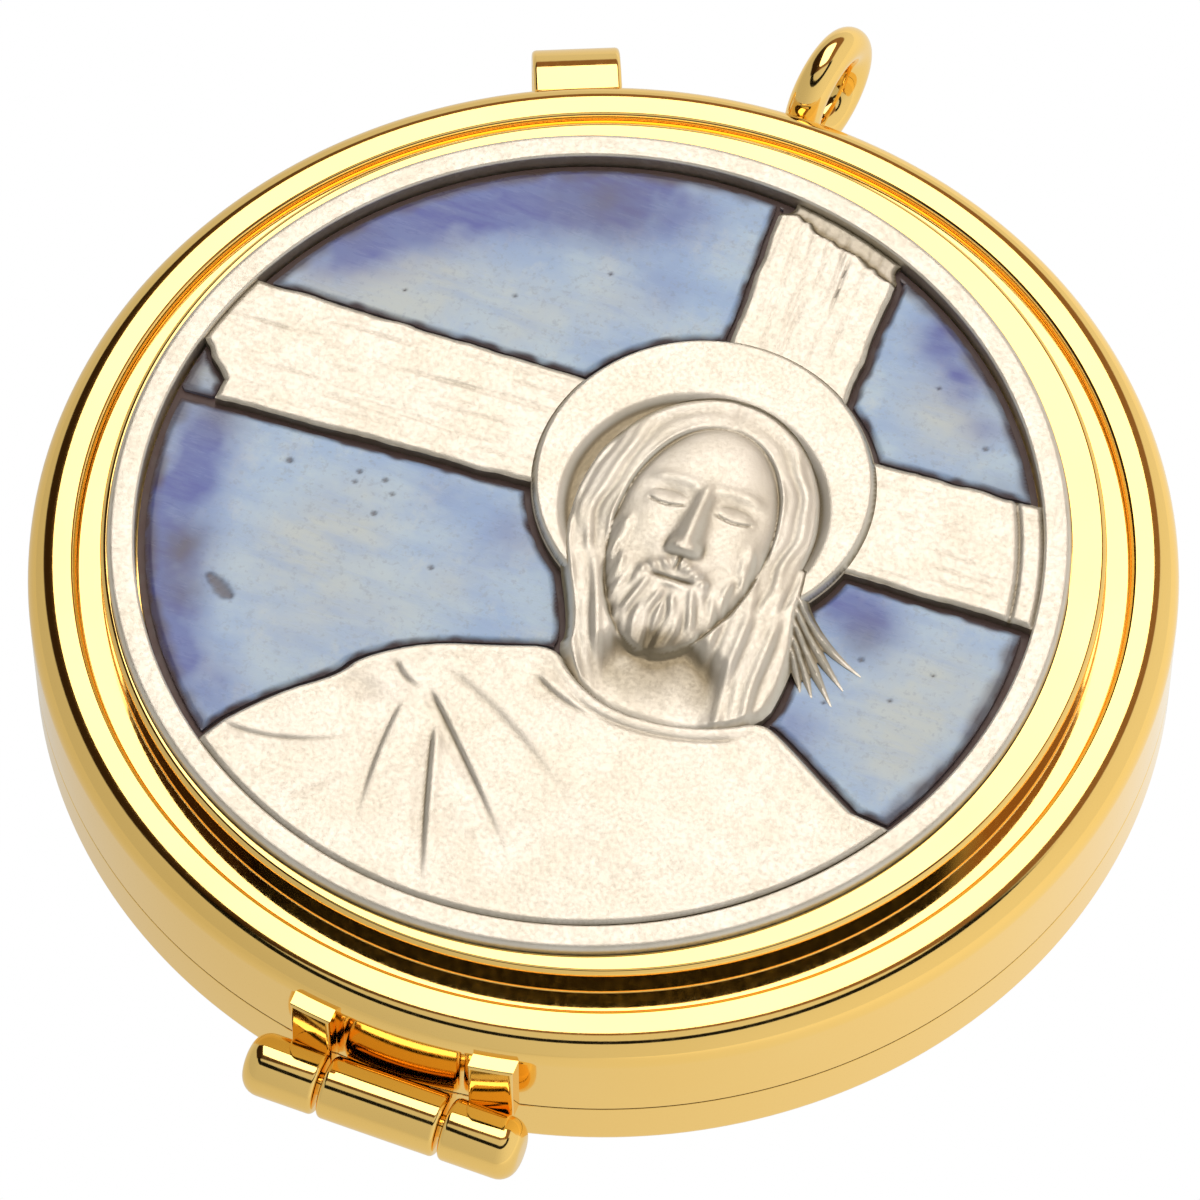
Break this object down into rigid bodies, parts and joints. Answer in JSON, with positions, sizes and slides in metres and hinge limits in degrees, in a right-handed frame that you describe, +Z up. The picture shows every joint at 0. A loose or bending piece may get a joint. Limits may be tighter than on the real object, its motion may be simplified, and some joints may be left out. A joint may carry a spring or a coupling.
{
  "type": "pyx",
  "caption": "Small round hinged case for carrying altar breads, gilt, with a sprung catch, a cord ring and a silver relief medal inlaid with blue shell on the lid.",
  "frame": {"origin": "centre of the case's round underside, on the table", "axes": "+Z up through the lid, +Y from the hinge towards the cord ring, +X to the right of the upright relief, along the hinge pin"},
  "size_m": [0.054, 0.0636, 0.0111],
  "materials": {
    "gold_plate": "polished gold plate on brass",
    "silver_plate": "satin silver plate",
    "blue_shell": "polished blue shell",
    "dark_cement": "dark inlay cement"
  },
  "bodies": {
    "base": {"base_dish": "gold_plate", "base_collar": "gold_plate", "base_hinge_knuckle": "gold_plate", "hinge_pin": "gold_plate", "catch_keeper": "gold_plate"},
    "lid": {"lid_shell": "gold_plate", "lid_hinge_ear_left": "gold_plate", "lid_hinge_ear_right": "gold_plate", "cord_ring": "gold_plate", "medal_rim": "silver_plate", "medal_back_plate": "silver_plate", "inlay_cement": "dark_cement", "medal_relief": "silver_plate", "shell_upper_left": "blue_shell", "shell_lower_left": "blue_shell", "shell_arm_chip": "blue_shell", "shell_upper_right": "blue_shell", "shell_lower_right": "blue_shell"},
    "catch": {"catch_tongue": "gold_plate"}
  },
  "joints": [
    {"name": "lid_hinge", "type": "hinge", "parent": "base", "child": "lid", "pos_m": [0, -0.0286, 0.00315], "axis": [1, 0, 0], "range_deg": [0, 140]},
    {"name": "catch_spring", "type": "hinge", "parent": "lid", "child": "catch", "pos_m": [-0.01098, 0.02467, 0.0074], "axis": [0.9135, 0.4067, 0], "range_deg": [0, 7], "stiffness_Nm_per_rad": 0.02}
  ]
}
